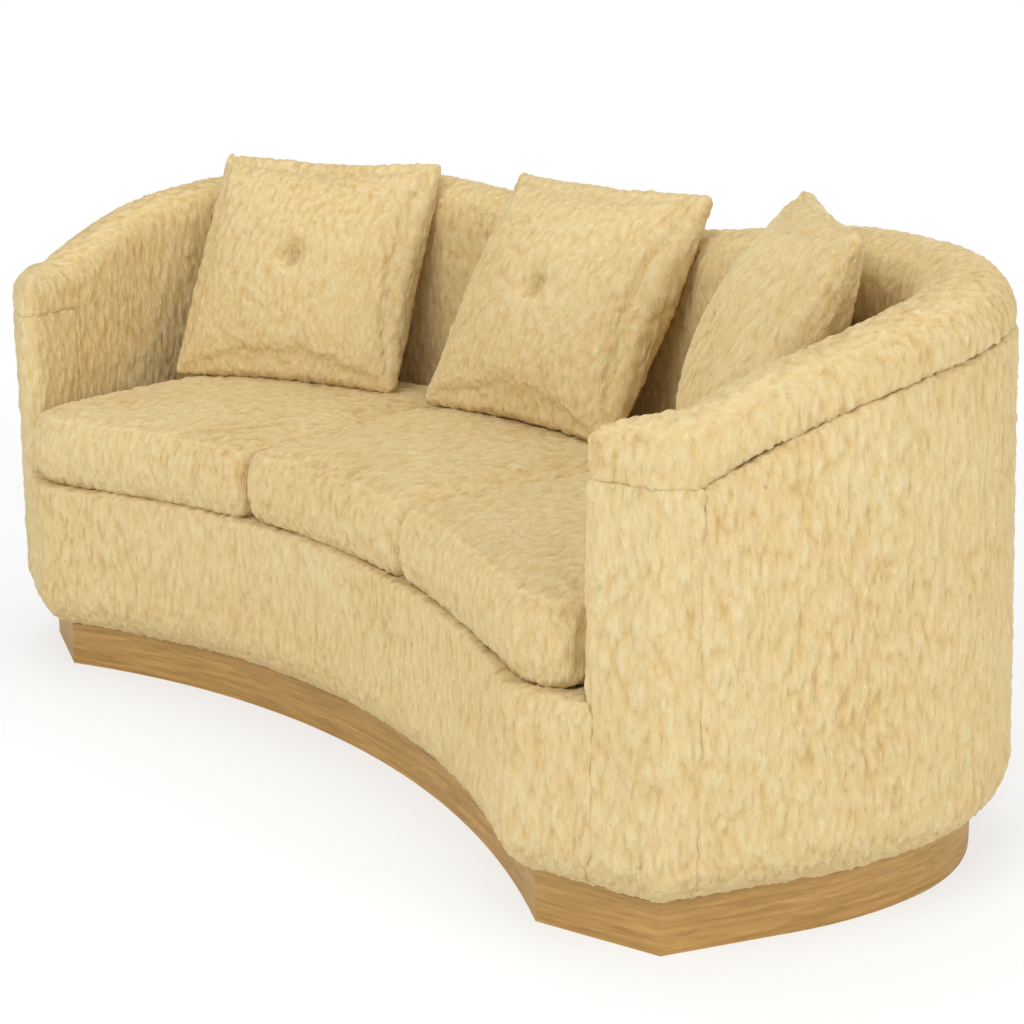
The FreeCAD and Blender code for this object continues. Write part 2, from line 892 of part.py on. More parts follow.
def nose_solid(inset, end_run, floor):
    """Arm's front end as a solid, every side drawn in by inset, open to the floor height."""
    reach = body_reach - inset
    low = hem_low + inset
    run = facing_wrap
    outer, centre, radius, bend, line, toe = roll_strokes(run, inset)
    top = line + radius
    plan = Part.Face(nose_plan(inset, end_run)).extrude(V(0, 0, top + overhang))
    place = wall_place(0)
    wall = Part.Face(ring(
        place,
        ((toe - overhang, floor), (hem_tuck, floor)),
        ((hem_tuck, floor), (hem_tuck, low)),
        hem_strokes(reach, low),
        ((reach, hem_high), (reach, line)),
        ((reach, line), (centre + bend, line + bend), (centre, line + radius)),
        ((centre, line + radius), (centre - bend, line + bend), (centre - radius, line)),
        ((centre - radius, line), (toe, suspension_top)),
        ((toe, suspension_top), (toe - overhang, suspension_top)),
        ((toe - overhang, suspension_top), (toe - overhang, floor)),
    ))
    length = 3 * arm_thickness
    wall.translate(V(-length * side_dx, -length * side_dy, 0))
    wall = wall.extrude(V((length + end_run) * side_dx, (length + end_run) * side_dy, 0))
    nose = arm_nose_radius - inset
    nose_bend = nose * (1 - math.sqrt(0.5))
    depth = -4 * arm_thickness

    def front_place(out, z):
        x = corner_x - arm_front_length * arm_dx + out * arm_dy
        y = corner_y - arm_front_length * arm_dy - out * arm_dx
        return V(x, y, z)

    front = Part.Face(ring(
        front_place,
        ((depth, floor), (hem_tuck, floor)),
        ((hem_tuck, floor), (hem_tuck, low)),
        hem_strokes(reach, low),
        ((reach, hem_high), (reach, top - nose)),
        ((reach, top - nose), (reach - nose_bend, top - nose_bend), (reach - nose, top)),
        ((reach - nose, top), (depth, top)),
        ((depth, top), (depth, floor)),
    )).extrude(V(3 * arm_front_length * arm_dx, 3 * arm_front_length * arm_dy, 0))
    return plan.common(wall).common(front)


def level_slab(low, high):
    """Everything between two heights."""
    reach = 2 * back_radius
    return Part.makeBox(2 * reach, 2 * reach, high - low, V(-reach, -reach, low))


def nose_shell():
    """Plush round the arm's front end, open on the seat side below the deck."""
    outer = nose_solid(0, facing_wrap, hem_low)
    inner = nose_solid(plush, facing_wrap + plush, hem_low - plush)
    low = hem_low - plush
    reach = body_reach - plush
    x, y = face_meets_side(reach, roll_strokes(0, plush + layer_gap)[5])
    depth = 2 * arm_thickness
    near = V(corner_x + reach * arm_dy, corner_y - reach * arm_dx, low)
    tip = V(x, y, low)
    corners = [near, tip, tip + V(depth * side_dx, depth * side_dy, 0), near + V(-depth * arm_dy, depth * arm_dx, 0)]
    passage = Part.Face(Part.makePolygon(corners + [near])).extrude(V(0, 0, suspension_top - low))
    return outer.cut(inner).cut(passage)


def make_wall_covers():
    split = corner_split
    seam = crease_at(facing_wrap)
    shell = nose_shell()
    save_pair("arm_front_cover", shell.common(level_slab(-plush, seam - touch)).Solids[0])
    save_pair("outside_arm_cover", wall_loft(facing_wrap, split, outside_section))
    save("outside_back_cover", wall_loft(split, whole_run - split, outside_section))
    cap = shell.common(level_slab(seam, 2 * shoulder_top)).Solids[0]
    arm = wall_loft(facing_wrap, split, roll_section)
    save_pair("inside_arm_cover", joined(cap, arm))
    back = wall_loft(split, whole_run - split, roll_section)
    save("inside_back_cover", back)
    return Part.makeCompound([arm, back, mirrored(arm)])


def make_wall_foam():
    split = corner_split
    for name, section in (
        ("outside_padding", padding_section),
        ("roll_foam", roll_foam_section),
        ("inside_foam", inner_foam_section),
    ):
        runs = [nearest_station(lean(0, split, i / foam_arm_pieces)) for i in range(foam_arm_pieces)]
        for i in range(foam_back_pieces + 1):
            runs.append(nearest_station(lean(split, half_run, i / foam_back_pieces)))
        pieces = [wall_loft(start, end, section) for start, end in zip(runs, runs[1:])]
        save_both(name, *pieces)
    block = nose_solid(plush + touch, -touch, hem_low).common(level_slab(base_top + touch, 2 * shoulder_top))
    save_both("arm_front_foam", block.cut(front_block(touch)).Solids[0])


# Front rail

def front_sweep(*strokes):
    """Sweep a section along the front and round both corners, as far as the arm fronts."""
    turn = math.radians(front_half_angle)
    nx, ny = -math.sin(turn), -math.cos(turn)
    face = Part.Face(ring(lambda reach, z: V(corner_x + nx * reach, corner_y + ny * reach, z), *strokes))
    middle = turned(face, 0, 0, 2 * front_half_angle)
    bend = front_half_angle + arm_front_angle
    end = face.copy()
    end.rotate(V(corner_x, corner_y, 0), V(0, 0, 1), bend)
    straight = end.extrude(V(arm_front_length * arm_dx, arm_front_length * arm_dy, 0))
    plan = Part.Face(nose_plan(-touch, facing_wrap)).extrude(V(0, 0, 2 * shoulder_top))
    pieces = [turned(face, corner_x, corner_y, bend), straight.cut(plan).Solids[0]]
    return joined(middle, *pieces, *[mirrored(piece) for piece in pieces])


def make_front():
    outer = body_reach
    inner = outer - plush
    top = deck_height
    half_round = seam_round * (1 - math.sqrt(0.5))
    save("front_border_cover", front_sweep(
        hem_strokes(outer, hem_low),
        ((outer, hem_high), (outer, top - seam_round)),
        ((outer, top - seam_round), (outer - half_round, top - half_round), (outer - seam_round, top)),
        ((outer - seam_round, top), (hem_tuck, top)),
        ((hem_tuck, top), (hem_tuck, top - plush)),
        ((hem_tuck, top - plush), (inner, top - plush)),
        ((inner, top - plush), (inner, hem_high)),
        hem_strokes(inner, hem_low + plush)[::-1],
        ((hem_tuck, hem_low + plush), (hem_tuck, hem_low)),
    ))
    high = top - plush - touch
    step = seat_rail_top + touch
    lip = hem_tuck + touch
    low, bend, middle, upper, back, inner_step, foot = padding_corners(high)
    corners = (low, bend, middle, upper, (lip, high), (lip, step), (back[0], step), inner_step, foot)
    strokes = [(corners[i], corners[(i + 1) % len(corners)]) for i in range(len(corners))]
    foam = front_sweep(*strokes)
    save("front_edge_foam", *[foam.common(part).Solids[0] for part in front_sectors()])


def front_sectors():
    """Wedges about the shared centre that divide the front foam into butted lengths."""
    limit = front_half_angle
    angles = [-80, -limit] + [lean(-limit, limit, i / front_foam_pieces) for i in range(1, front_foam_pieces)]
    angles += [limit, 80]
    reach = 3 * front_radius
    wedges = []
    for start, end in zip(angles, angles[1:]):
        near = V(*polar(reach, start), 0)
        far = V(*polar(reach, end), 0)
        corners = [V(0, 0, 0), near, far, V(0, 0, 0)]
        wedges.append(Part.Face(Part.makePolygon(corners)).extrude(V(0, 0, shoulder_top)))
    return wedges


# Seat cushions

def front_point(angle, reach):
    """Point of the front outline, moved outward by reach, at an angle from the middle."""
    sx, sy = polar(1, abs(angle))
    to_arm = (corner_x * arm_dy - corner_y * arm_dx + reach) / (sx * arm_dy - sy * arm_dx)
    radius = max(front_radius - reach, to_arm)
    return math.copysign(sx, angle) * radius, sy * radius


def inner_point(run, clear):
    """Point inside the seat well, kept clear of the inside plush at its foot."""
    reach = roll_strokes(run, 0)[5] - clear
    point = wall_place(run)(reach, suspension_top)
    return point.x, point.y


def cushion_solid(first_angle, last_angle, first_run, last_run, inset):
    """Crowned seat cushion lofted across its width from upright front-to-back sections."""
    width = front_radius * math.radians(abs(last_angle - first_angle))
    edge = cushion_side_round / width
    near_side = [0, 0.12 * edge, 0.45 * edge, edge, 1.6 * edge]
    shares = near_side + [0.2, 0.35, 0.5, 0.65, 0.8] + [1 - share for share in reversed(near_side)]
    trim = inset / width
    wires = []
    for share in shares:
        across = lean(trim, 1 - trim, share)
        side = min(share, 1 - share) / edge
        drawn = 0 if side >= 1 else cushion_side_round * (1 - math.sqrt(1 - (1 - side) ** 2))
        back_in = drawn + inset
        angle = lean(first_angle, last_angle, across)
        near_corner = max(0.0, 1 - abs(abs(angle) - front_half_angle) / corner_ease_angle)
        front_x, front_y = front_point(angle, body_reach + cushion_proud - corner_ease * smooth(near_corner))
        back_x, back_y = inner_point(lean(first_run, last_run, across), cushion_gap)
        length = math.hypot(back_x - front_x, back_y - front_y)
        dx = (back_x - front_x) / length
        dy = (back_y - front_y) / length
        low = deck_height + touch + back_in
        high = deck_height + touch + cushion_height - back_in
        crown = high + cushion_crown * lean(0.3, 1, math.sin(math.pi * share))
        near = back_in
        far = length - back_in
        bulge = min(cushion_bulge, (high - low) / 3)
        middle = (low + high) / 2

        def place(along, z, x=front_x, y=front_y, dx=dx, dy=dy):
            return V(x + dx * along, y + dy * along, z)

        wires.append(ring(
            place,
            ((near + bulge, low), (near, middle), (near + bulge, high)),
            ((near + bulge, high), (length / 2, crown), (far - bulge, high)),
            ((far - bulge, high), (far, middle), (far - bulge, low)),
            ((far - bulge, low), (near + bulge, low)),
        ))
    base = deck_height + touch + inset
    return Part.makeLoft(wires, True, False).common(level_slab(base, shoulder_top)).Solids[0]


def nose_tip_angle():
    """Angle, from the middle, of the arm's inner front corner, less the cushion's clearance."""
    x, y = face_meets_side(body_reach + cushion_proud, roll_strokes(0, 0)[5] - cushion_gap)
    return math.degrees(math.atan2(x, y))


def seat_cushions():
    """Outer plush and foam core of the three cushions, right, middle and left."""
    half_gap = math.degrees(cushion_gap / 2 / front_radius)
    split = seat_split_angle
    split_run = half_run - back_radius * math.radians(split)
    gap_run = cushion_gap / 2
    corner_run = lean(side_run, rear_run, 0.25)
    right = (split + half_gap, nose_tip_angle(), split_run - gap_run, corner_run)
    middle = (-split + half_gap, split - half_gap, whole_run - split_run - gap_run, split_run + gap_run)
    result = {}
    for name, limits in (("right", right), ("middle", middle)):
        outer = cushion_solid(*limits, 0)
        hollow = cushion_solid(*limits, plush)
        core = cushion_solid(*limits, plush + touch)
        result[name] = (outer, outer.cut(hollow), core)
    result["left"] = tuple(mirrored(shape) for shape in result["right"])
    return result


# Pillows

def pillow_solid(inset):
    """Square pillow with crowned faces, drawn-in sides, knife edges and a tufted middle.

    Its width lies along X, its height along Z, and its front faces -Y.
    """
    half = pillow_side / 2 - inset
    edge = pillow_edge / 2 - inset / 2
    depth = pillow_thickness / 2 - inset
    wires = []
    for share in (-1, -0.985, -0.93, -0.8, -0.58, -0.3, 0, 0.3, 0.58, 0.8, 0.93, 0.985, 1):
        swell = max(0.0, math.cos(share * math.pi / 2)) ** 0.62
        bulge = edge + (depth - edge) * swell
        tall = half - pillow_pull * math.cos(share * math.pi / 2)
        across = share * half

        def place(y, z, x=across):
            return V(x, y, z)

        bulge = max(bulge, edge + 1)
        wires.append(ring(
            place,
            ((-edge, -tall), (-bulge, 0), (-edge, tall)),
            ((-edge, tall), (edge, tall)),
            ((edge, tall), (bulge, 0), (edge, -tall)),
            ((edge, -tall), (-edge, -tall)),
        ))
    solid = Part.makeLoft(wires, True, False)
    radius = (half ** 2 + pillow_pull ** 2) / (2 * pillow_pull)
    for side in (-1, 1):
        centre = side * (half - pillow_pull + radius)
        solid = solid.cut(Part.makeCylinder(radius, pillow_thickness * 2, V(centre, -pillow_thickness, 0), V(0, 1, 0)))
    for side in (-1, 1):
        solid = solid.cut(tuft_tool(side, depth))
    return solid


def spun(face):
    """Solid turned from a half section about the pillow's middle axis."""
    return Part.Solid(face.revolve(V(0, 0, 0), V(0, 1, 0), 360).Shells[0])


def tuft_tool(side, depth):
    """Bell that presses the tuft into one face."""
    inset = pillow_thickness / 2 - depth
    well = button_radius + pillow_cloth / 2 + inset
    rim = tuft_radius + inset / 2
    floor = depth - tuft_depth
    mouth = depth + pillow_cloth
    bend = lean(well, rim, 0.22)

    def place(across, out):
        return V(across, side * out, 0)

    face = Part.Face(ring(
        place,
        ((0, floor), (well, floor)),
        ((well, floor), (bend, lean(floor, mouth, 0.6)), (rim, mouth)),
        ((rim, mouth), (0, mouth)),
        ((0, mouth), (0, floor)),
    ))
    return spun(face)


def button_solid(side):
    """Covered button with a domed face, seated at the bottom of the tuft."""
    floor = pillow_thickness / 2 - tuft_depth + touch
    dome_radius = (button_radius ** 2 + button_dome ** 2) / (2 * button_dome)
    centre = V(0, side * (floor + button_height - dome_radius), 0)
    body = Part.makeCylinder(button_radius, button_height, V(0, side * floor, 0), V(0, side, 0))
    return body.common(Part.makeSphere(dome_radius, centre)).Solids[0]


def pillow_parts():
    """Outer shape, plush cover, insert, two buttons and the twine between them, in pillow axes."""
    hole = Part.makeCylinder(twine_radius + touch, pillow_thickness, V(0, -pillow_thickness / 2, 0), V(0, 1, 0))
    outer = pillow_solid(0)
    cover = outer.cut(pillow_solid(pillow_cloth)).cut(hole)
    insert = pillow_solid(pillow_cloth + touch).cut(hole)
    reach = pillow_thickness / 2 - tuft_depth
    twine = Part.makeCylinder(twine_radius, 2 * reach, V(0, -reach, 0), V(0, 1, 0))
    return outer, cover, insert, [button_solid(-1), button_solid(1), twine]


def reach_to(shape, target, clear, dx, dy, dz, steps=8):
    """Distance a shape can move along a direction until it is only just clear of the target."""
    moving = shape.copy()
    total = 0
    for step in range(steps):
        gap = moving.distToShape(target)[0] - clear
        if gap < touch / 4:
            break
        moving.translate(V(gap * dx, gap * dy, gap * dz))
        total += gap
    return total


def resting_pose(outer, cushion, wall, angle, yaw, tilt, roll):
    """Placement of a pillow that stands on its cushion and leans on the wall behind it."""
    turn = FreeCAD.Rotation(V(0, 0, 1), -yaw).multiply(FreeCAD.Rotation(V(1, 0, 0), -tilt))
    turn = turn.multiply(FreeCAD.Rotation(V(0, 1, 0), roll))
    x, y = polar(lean(front_radius, back_radius, pillow_start_share), angle)
    pose = FreeCAD.Placement(V(x, y, deck_height + cushion_height + cushion_crown + pillow_side * 0.6), turn)
    back = turn.multVec(V(0, 1, 0))
    length = math.hypot(back.x, back.y)
    for dx, dy, dz, target, clear in (
        (0, 0, -1, cushion, layer_gap),
        (back.x / length, back.y / length, 0, wall, pillow_wall_gap),
        (0, 0, -1, cushion, layer_gap),
    ):
        shape = outer.copy()
        shape.Placement = pose
        reach = reach_to(shape, target, clear, dx, dy, dz)
        pose.Base = pose.Base + V(reach * dx, reach * dy, reach * dz)
    return pose


def make_pillows(cushions, wall):
    outer, cover, insert, studs = pillow_parts()
    for side, angle, yaw, tilt, roll in (
        ("left", left_pillow_angle, left_pillow_yaw, left_pillow_tilt, left_pillow_roll),
        ("middle", middle_pillow_angle, middle_pillow_yaw, middle_pillow_tilt, middle_pillow_roll),
        ("right", right_pillow_angle, right_pillow_yaw, right_pillow_tilt, right_pillow_roll),
    ):
        pose = resting_pose(outer, cushions[side][0], wall, angle, yaw, tilt, roll)
        for name, shapes in (("cover", [cover]), ("insert", [insert]), ("buttons", studs)):
            placed = []
            for shape in shapes:
                copy = shape.copy()
                copy.Placement = pose.multiply(copy.Placement)
                placed.append(copy)
            save("pillow_" + name + "_" + side, *placed)


# Run everything

os.makedirs("parts", exist_ok=True)
make_plinth()
make_plinth_blocks()
make_plinth_screws()
make_dust_cloth()
make_base_frame()
make_seat_rails()
make_uprights()
make_top_rails()
make_arm_front_rails()
make_springs()
make_webbing()
make_deck()
inside_covers = make_wall_covers()
make_wall_foam()
make_front()
seat = seat_cushions()
for side, (outer, cover, core) in seat.items():
    save("seat_cushion_cover_" + side, cover)
    save("seat_cushion_core_" + side, core)
make_pillows(seat, inside_covers)
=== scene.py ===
import json
import math
import bpy
import numpy as np
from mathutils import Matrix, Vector


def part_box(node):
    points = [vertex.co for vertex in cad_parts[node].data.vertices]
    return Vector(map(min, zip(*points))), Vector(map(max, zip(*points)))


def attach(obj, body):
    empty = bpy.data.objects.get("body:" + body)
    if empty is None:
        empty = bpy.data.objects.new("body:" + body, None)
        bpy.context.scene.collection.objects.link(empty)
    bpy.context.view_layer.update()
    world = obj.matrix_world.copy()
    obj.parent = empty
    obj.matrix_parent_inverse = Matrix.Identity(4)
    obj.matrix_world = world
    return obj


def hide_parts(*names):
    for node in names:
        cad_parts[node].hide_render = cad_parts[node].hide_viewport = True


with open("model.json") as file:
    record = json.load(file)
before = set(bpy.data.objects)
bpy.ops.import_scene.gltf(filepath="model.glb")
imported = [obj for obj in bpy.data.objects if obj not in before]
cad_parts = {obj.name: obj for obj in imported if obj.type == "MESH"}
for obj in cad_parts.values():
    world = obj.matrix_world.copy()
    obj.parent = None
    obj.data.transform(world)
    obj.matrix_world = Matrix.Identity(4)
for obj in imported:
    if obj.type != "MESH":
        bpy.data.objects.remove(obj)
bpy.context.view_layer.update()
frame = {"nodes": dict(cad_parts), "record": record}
nodes = frame["nodes"]
SIDES = ("left", "middle", "right")

# Upholstery sizes, in metres
wall_voxel = 0.0042
cushion_voxel = 0.009
pillow_voxel = 0.008
lock_width = 0.0095
wall_lock_length = 0.042
loose_lock_length = 0.036
lock_height = 0.0042
cover_lift = 0.0012
cushion_lift = 0.001
cloud_height = 0.0045
cushion_travel = 0.007
pillow_travel = 0.010

# Cloth
cushion_pressure = 4
pillow_pressure = 5
cloth_frames = 20
cloth_stiffness = 12
cloth_bending = 1.5
sideways_share = 0.4

# Camera, with the photo's centre and focal length in pixels
camera_pan = math.radians(49.5)
camera_pitch = math.radians(12.1)
camera_place = (2.2742, -1.8496, 1.150)
image_size = 1024
focal_pixels = 1918.0
centre_x = 528.0
centre_y = 389.4
sensor_width = 36
view_distance = 60
floor_half = 30


# Meshes

def points_of(mesh):
    co = np.empty(len(mesh.vertices) * 3, np.float32)
    mesh.vertices.foreach_get("co", co)
    return co.reshape(-1, 3).astype(np.float64)


def normals_of(mesh):
    no = np.empty(len(mesh.vertices) * 3, np.float32)
    mesh.vertices.foreach_get("normal", no)
    return no.reshape(-1, 3).astype(np.float64)


def set_points(mesh, co):
    mesh.vertices.foreach_set("co", co.astype(np.float32).ravel())
    mesh.update()


def new_object(name, mesh):
    obj = bpy.data.objects.new(name, mesh)
    bpy.context.scene.collection.objects.link(obj)
    return obj


def faces_of(mesh):
    mesh.calc_loop_triangles()
    tris = np.empty(len(mesh.loop_triangles) * 3, np.int32)
    mesh.loop_triangles.foreach_get("vertices", tris)
    return tris.reshape(-1, 3)


def copy_nodes(name, names, keep=None):
    """One mesh from the CAD meshes of several nodes, welded, with only the faces that keep accepts."""
    points, faces, start = [], [], 0
    for node in names:
        mesh = nodes[node].data
        points.append(points_of(mesh))
        faces.append(faces_of(mesh) + start)
        start += len(mesh.vertices)
    co = np.concatenate(points)
    tris = np.concatenate(faces)
    microns = np.round(co * 1e6).astype(np.int64)
    key, index = np.unique(microns, axis=0, return_inverse=True)
    tris = index.reshape(-1)[tris]
    co = key / 1e6
    if keep:
        tris = keep(co, tris)
    mesh = bpy.data.meshes.new(name)
    mesh.from_pydata(co.tolist(), [], tris.tolist())
    mesh.validate()
    mesh.update()
    return new_object(name, mesh)


def outer_shell(co, tris):
    """Only the faces of the largest connected shell."""
    rounds = 200
    parent = np.arange(len(co))
    for _ in range(rounds):
        lowest = np.minimum.reduce(parent[tris], axis=1)
        merged = parent.copy()
        for corner in range(3):
            np.minimum.at(merged, tris[:, corner], lowest)
        merged = merged[merged]
        if np.array_equal(merged, parent):
            break
        parent = merged
    label = parent[tris[:, 0]]
    best, extent = None, -1
    for value in np.unique(label):
        shell = co[tris[label == value].ravel()]
        size = np.prod(shell.max(0) - shell.min(0))
        if size > extent:
            best, extent = value, size
    return tris[label == best]


def baked(obj):
    """Applies the object's modifiers."""
    deps = bpy.context.evaluated_depsgraph_get()
    mesh = bpy.data.meshes.new_from_object(obj.evaluated_get(deps))
    old = obj.data
    obj.modifiers.clear()
    obj.data = mesh
    bpy.data.meshes.remove(old)
    return obj


def remeshed(obj, size, rounds):
    """Even mesh with softened edges."""
    voxel = obj.modifiers.new("voxel", "REMESH")
    voxel.mode = "VOXEL"
    voxel.voxel_size = size
    soften = obj.modifiers.new("soften", "SMOOTH")
    soften.factor = 0.5
    soften.iterations = rounds
    return baked(obj)


def subdivided(obj):
    """Splits each face in four."""
    step = obj.modifiers.new("finer", "SUBSURF")
    step.levels = step.render_levels = 1
    return baked(obj)


def inflated(obj, pressure, cap, floor=None):
    """Cloth blown up by inner pressure, with each point's travel capped."""
    scene = bpy.context.scene
    start, facing = points_of(obj.data), normals_of(obj.data)
    cloth = obj.modifiers.new("cloth", "CLOTH")
    settings = cloth.settings
    settings.use_pressure = True
    settings.uniform_pressure_force = pressure
    settings.tension_stiffness = settings.compression_stiffness = cloth_stiffness
    settings.bending_stiffness = cloth_bending
    settings.effector_weights.gravity = 0
    cloth.point_cache.frame_start, cloth.point_cache.frame_end = 1, cloth_frames
    for number in range(1, cloth_frames + 1):
        scene.frame_set(number)
    baked(obj)
    scene.frame_set(1)
    moved = points_of(obj.data)
    shift = moved - start
    outward = (shift * facing).sum(1, keepdims=True)
    shift = facing * np.maximum(outward, 0) + sideways_share * (shift - facing * outward)
    length = np.linalg.norm(shift, axis=1, keepdims=True)
    moved = start + shift * np.minimum(1, cap / np.maximum(length, 1e-9))
    if floor is not None:
        moved[:, 2] = np.maximum(moved[:, 2], floor)
    set_points(obj.data, moved)
    return obj


# Pile

def scattered(cell, salt):
    """Repeatable numbers from 0 to 1, three for each integer cell."""
    out = []
    base = (cell[:, 0] * 73856093) ^ (cell[:, 1] * 19349663) ^ (cell[:, 2] * 83492791)
    for k in range(3):
        h = (base + (salt + k) * 2654435761) & 0xFFFFFFFF
        h = ((h ^ (h >> 16)) * 0x45D9F3B) & 0xFFFFFFFF
        h = ((h ^ (h >> 16)) * 0x45D9F3B) & 0xFFFFFFFF
        out.append(((h ^ (h >> 16)) & 0xFFFFF) / 1048576)
    return np.stack(out, 1)


def tufts(p, salt):
    """Height of the locks of pile, one lock to a unit cell, each highest at its lower end."""
    cell = np.floor(p).astype(np.int64)
    near = np.full(len(p), 9.0)
    along = np.zeros(len(p))
    for dx in (-1, 0, 1):
        for dy in (-1, 0, 1):
            for dz in (-1, 0, 1):
                other = cell + (dx, dy, dz)
                offset = p - other - scattered(other, salt)
                gap = (offset ** 2).sum(1)
                closer = gap < near
                near[closer] = gap[closer]
                along[closer] = offset[closer, 2]
    dome = np.clip(1 - np.sqrt(near) * 1.15, 0, 1)
    return dome * np.clip(0.9 - 0.8 * along, 0.15, 1.4)


def soft_noise(p, salt):
    """Smooth value noise from 0 to 1."""
    cell = np.floor(p).astype(np.int64)
    f = p - cell
    f = f * f * (3 - 2 * f)
    total = np.zeros(len(p))
    for dx in (0, 1):
        for dy in (0, 1):
            for dz in (0, 1):
                weight = np.abs(1 - dx - f[:, 0]) * np.abs(1 - dy - f[:, 1]) * np.abs(1 - dz - f[:, 2])
                total += weight * scattered(cell + (dx, dy, dz), salt)[:, 0]
    return total


def piled(obj, along, salt, lift=0.0, turn=None, base=None):
    """Raises shaggy locks on a mesh and keeps their height for the material, which paints shade at their
    roots and a highlight on their tips.

    The matrix turn takes the room's directions to the piece's own, with the pile along its Z.
    """
    across = lock_width
    mesh = obj.data
    co, no = points_of(mesh), normals_of(mesh)
    own = co if turn is None else co @ turn.T
    facing = np.abs(no[:, 2] if turn is None else (no @ turn.T)[:, 2])
    warp_scale, warp_size = 18, 0.02
    own = own + np.stack([soft_noise(own * warp_scale, salt + 31 + k) - 0.5 for k in range(3)], 1) * warp_size
    wall = tufts(own / (across, across, along), salt)
    fine = tufts(own / (across * 0.55, across * 0.55, along * 0.5), salt + 7)
    flat = tufts(own[:, [0, 2, 1]] / (across, across, along * 0.7), salt + 3)
    flat_fine = tufts(own[:, [0, 2, 1]] / (across * 0.55, across * 0.55, along * 0.45), salt + 9)
    level_start, level_width = 0.62, 0.25
    blend = np.clip((facing - level_start) / level_width, 0, 1)
    locks = (1 - blend) * (0.55 * wall + 0.45 * fine) + blend * (0.55 * flat + 0.45 * flat_fine)
    cloud_scale = 7
    cloud = soft_noise(own * cloud_scale, salt + 17) - 0.5
    mean_lock, contrast = 0.35, 1.7
    rise = lift + lock_height * (locks - mean_lock) * contrast + cloud_height * cloud
    droop = np.zeros_like(co)
    droop_share = 0.35
    droop[:, 2] = -droop_share * lock_height * locks * (1 - blend)
    moved = co + no * rise[:, None] + droop
    if base is not None:
        moved[:, 2] = np.maximum(moved[:, 2], base)
    set_points(mesh, moved)
    # The pile height stored here becomes painted root shade and a painted tip highlight in the plush
    # material.
    for name, values in (("pile", np.clip(locks * 1.5, 0, 1)), ("cloud", cloud + 0.5)):
        layer = mesh.attributes.new(name, "FLOAT", "POINT")
        layer.data.foreach_set("value", values.astype(np.float32))
    mesh.shade_smooth()
    return obj


# Materials

class Nodes:
    """Small helper for building a shader tree."""

    def __init__(self, name):
        self.material = bpy.data.materials.new(name)
        self.material.use_nodes = True
        self.tree = self.material.node_tree
        self.shader = self.tree.nodes["Principled BSDF"]

    def add(self, kind, **values):
        node = self.tree.nodes.new("ShaderNode" + kind)
        for key, value in values.items():
            if hasattr(node, key):
                setattr(node, key, value)
            else:
                node.inputs[key].default_value = value
        return node

    def link(self, source, target):
        self.tree.links.new(source, target)

    def scaled(self, scale):
        place = self.add("TexCoord")
        mapping = self.add("Mapping", Scale=scale)
        self.link(place.outputs["Object"], mapping.inputs["Vector"])
        return mapping.outputs["Vector"]

    def ramp(self, source, *stops):
        node = self.add("ValToRGB")
        ramp = node.color_ramp
        while len(ramp.elements) < len(stops):
            ramp.elements.new(0.5)
        for element, (position, colour) in zip(ramp.elements, stops):
            element.position = position
            element.color = (*colour, 1)
        self.link(source, node.inputs["Fac"])
        return node.outputs["Color"]


def plush_material(name, deep_tone_and_root_shade, middle, light):
    n = Nodes(name)
    # The pile height paints shade where it is low, at the lock roots, and a highlight where it is high, on
    # the tips.
    pile = n.add("Attribute", attribute_name="pile")
    cloud = n.add("Attribute", attribute_name="cloud")
    strands = n.add("TexNoise", Scale=1.0, Detail=4.0, Roughness=0.65)
    n.link(n.scaled((420, 420, 55)), strands.inputs["Vector"])
    specks = n.add("TexNoise", Scale=1.0, Detail=3.0, Roughness=0.6)
    n.link(n.scaled((700, 90, 700)), specks.inputs["Vector"])
    normal = n.add("NewGeometry")
    split = n.add("SeparateXYZ")
    n.link(normal.outputs["Normal"], split.inputs[0])
    steep = n.add("Math", operation="ABSOLUTE")
    n.link(split.outputs["Z"], steep.inputs[0])
    level = n.add("MapRange")
    level.inputs["From Min"].default_value = 0.6
    level.inputs["From Max"].default_value = 0.9
    n.link(steep.outputs[0], level.inputs["Value"])
    grain = n.add("Mix", data_type="FLOAT")
    n.link(level.outputs[0], grain.inputs[0])
    n.link(strands.outputs["Fac"], grain.inputs[2])
    n.link(specks.outputs["Fac"], grain.inputs[3])
    grain_and_pile_shade = n.add("Math", operation="MULTIPLY_ADD")
    grain_and_pile_shade.inputs[1].default_value = 0.75
    n.link(grain.outputs[0], grain_and_pile_shade.inputs[0])
    n.link(pile.outputs["Fac"], grain_and_pile_shade.inputs[2])
    with_cloud = n.add("Math", operation="MULTIPLY_ADD")
    with_cloud.inputs[1].default_value = 0.35
    n.link(cloud.outputs["Fac"], with_cloud.inputs[0])
    n.link(grain_and_pile_shade.outputs[0], with_cloud.inputs[2])
    share = n.add("Math", operation="MULTIPLY")
    share.inputs[1].default_value = 0.6
    n.link(with_cloud.outputs[0], share.inputs[0])
    # Colour ramp: the deep colour is painted shade at the lock roots, mixed with darker random tone; the
    # light colour is a painted highlight on the lock tips.
    tone_and_pile_shade = n.ramp(share.outputs[0], (0.28, deep_tone_and_root_shade), (0.55, middle), (0.95, light))
    n.link(tone_and_pile_shade, n.shader.inputs["Base Color"])
    n.shader.inputs["Roughness"].default_value = 0.95
    n.shader.inputs["Specular IOR Level"].default_value = 0.15
    n.shader.inputs["Sheen Weight"].default_value = 0.12
    n.shader.inputs["Sheen Roughness"].default_value = 0.6
    n.shader.inputs["Sheen Tint"].default_value = (1.0, 0.9, 0.68, 1)
    bump = n.add("Bump", Strength=0.9, Distance=0.006)
    n.link(grain.outputs[0], bump.inputs["Height"])
    n.link(bump.outputs["Normal"], n.shader.inputs["Normal"])
    return n.material


